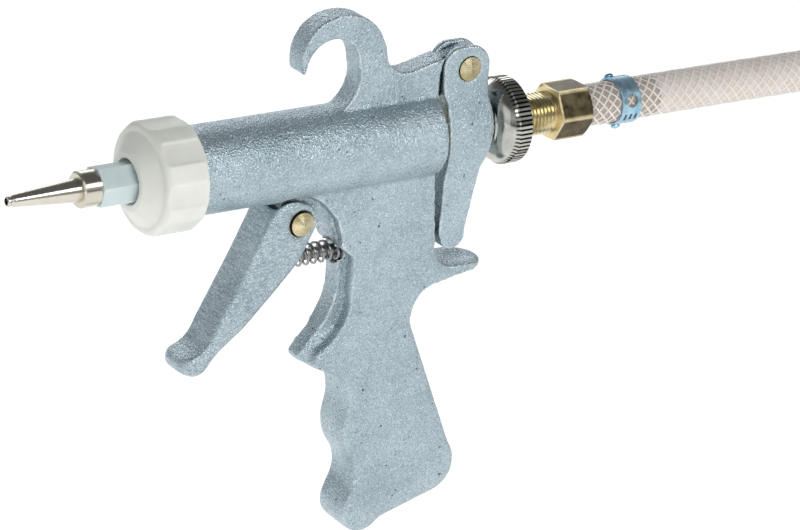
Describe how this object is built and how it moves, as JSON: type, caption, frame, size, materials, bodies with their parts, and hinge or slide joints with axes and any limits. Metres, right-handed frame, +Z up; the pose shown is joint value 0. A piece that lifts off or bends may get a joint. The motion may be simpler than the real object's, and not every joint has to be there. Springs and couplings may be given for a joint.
{
  "type": "hose-fed dispensing gun",
  "caption": "Cast pistol-grip dispensing gun with a hanging hook, a trigger that opens a sliding valve tube through a rear lever, a tapered nozzle and a coiled braided supply hose.",
  "frame": {"origin": "centre of the hook's inner arc, where the rail that the gun hangs on lies", "axes": "+X forward to the nozzle, +Y to the gun's left and along the rail, +Z up"},
  "size_m": [0.5274, 0.1919, 0.3913],
  "materials": {
    "cast_metal": "as-cast, grainy, light blue-grey",
    "brass": "turned",
    "dark_brass": "drawn hexagon bar, slightly tarnished",
    "chrome": "polished",
    "steel": "turned",
    "spring_steel": "drawn wire",
    "cap_nylon": "milky, satin",
    "stub_nylon": "translucent, satin",
    "seal_rubber": "matt",
    "zinc_plate": "blue-passivated zinc",
    "hose_clear": "clear with a woven white braid"
  },
  "bodies": {
    "frame": {"gun_body": "cast_metal", "trigger_pin": "brass", "lever_pin": "brass", "rear_bush": "brass", "return_spring": "spring_steel", "gland_washer": "steel", "gland_packing": "seal_rubber", "gland_nut": "brass", "cap_gasket": "seal_rubber", "nozzle_holder": "stub_nylon", "ferrule_nut": "chrome", "nozzle_tip": "chrome", "trigger_spring": "spring_steel"},
    "cap": {"front_cap": "cap_nylon"},
    "trigger": {"trigger": "cast_metal"},
    "rod": {"push_rod": "steel"},
    "lever": {"rear_lever": "cast_metal"},
    "feed": {"feed_tube": "brass", "spring_collar": "steel", "valve_cone": "steel", "hose_connector": "dark_brass", "hose_clamp_band": "zinc_plate", "hose_clamp_housing": "zinc_plate", "hose_clamp_screw": "zinc_plate", "hose_lead": "hose_clear", "hose_coil": "hose_clear", "hose_tail": "hose_clear", "supply_spigot": "brass", "supply_nut": "dark_brass", "supply_clamp_band": "zinc_plate", "supply_clamp_housing": "zinc_plate", "supply_clamp_screw": "zinc_plate"},
    "knob": {"adjusting_knob": "chrome"}
  },
  "joints": [
    {"name": "trigger_pull", "type": "hinge", "parent": "frame", "child": "trigger", "pos_m": [0.0105, 0, -0.056], "axis": [0, 1, 0], "range_deg": [0, 18], "stiffness_Nm_per_rad": 1.2, "springref_deg": -8.59},
    {"name": "rod_slide", "type": "slide", "parent": "frame", "child": "rod", "axis": [-1, 0, 0], "range_m": [0, 0.0055], "deforming": ["trigger_spring"]},
    {"name": "lever_swing", "type": "hinge", "parent": "frame", "child": "lever", "pos_m": [-0.059, 0, -0.0078], "axis": [0, 1, 0], "range_deg": [0, 5]},
    {"name": "feed_slide", "type": "slide", "parent": "frame", "child": "feed", "axis": [-1, 0, 0], "range_m": [0, 0.0023], "deforming": ["return_spring"]},
    {"name": "knob_turn", "type": "hinge", "parent": "feed", "child": "knob", "pos_m": [-0.076, 0, -0.032], "axis": [1, 0, 0], "continuous": true},
    {"name": "cap_turn", "type": "hinge", "parent": "frame", "child": "cap", "pos_m": [0.065, 0, -0.032], "axis": [1, 0, 0], "continuous": true}
  ],
  "couplings": [
    {"joint": "rod_slide", "follows": "trigger_pull", "m_per_rad": 0.017},
    {"joint": "lever_swing", "follows": "trigger_pull", "ratio": 0.2656},
    {"joint": "feed_slide", "follows": "trigger_pull", "m_per_rad": 0.007}
  ]
}
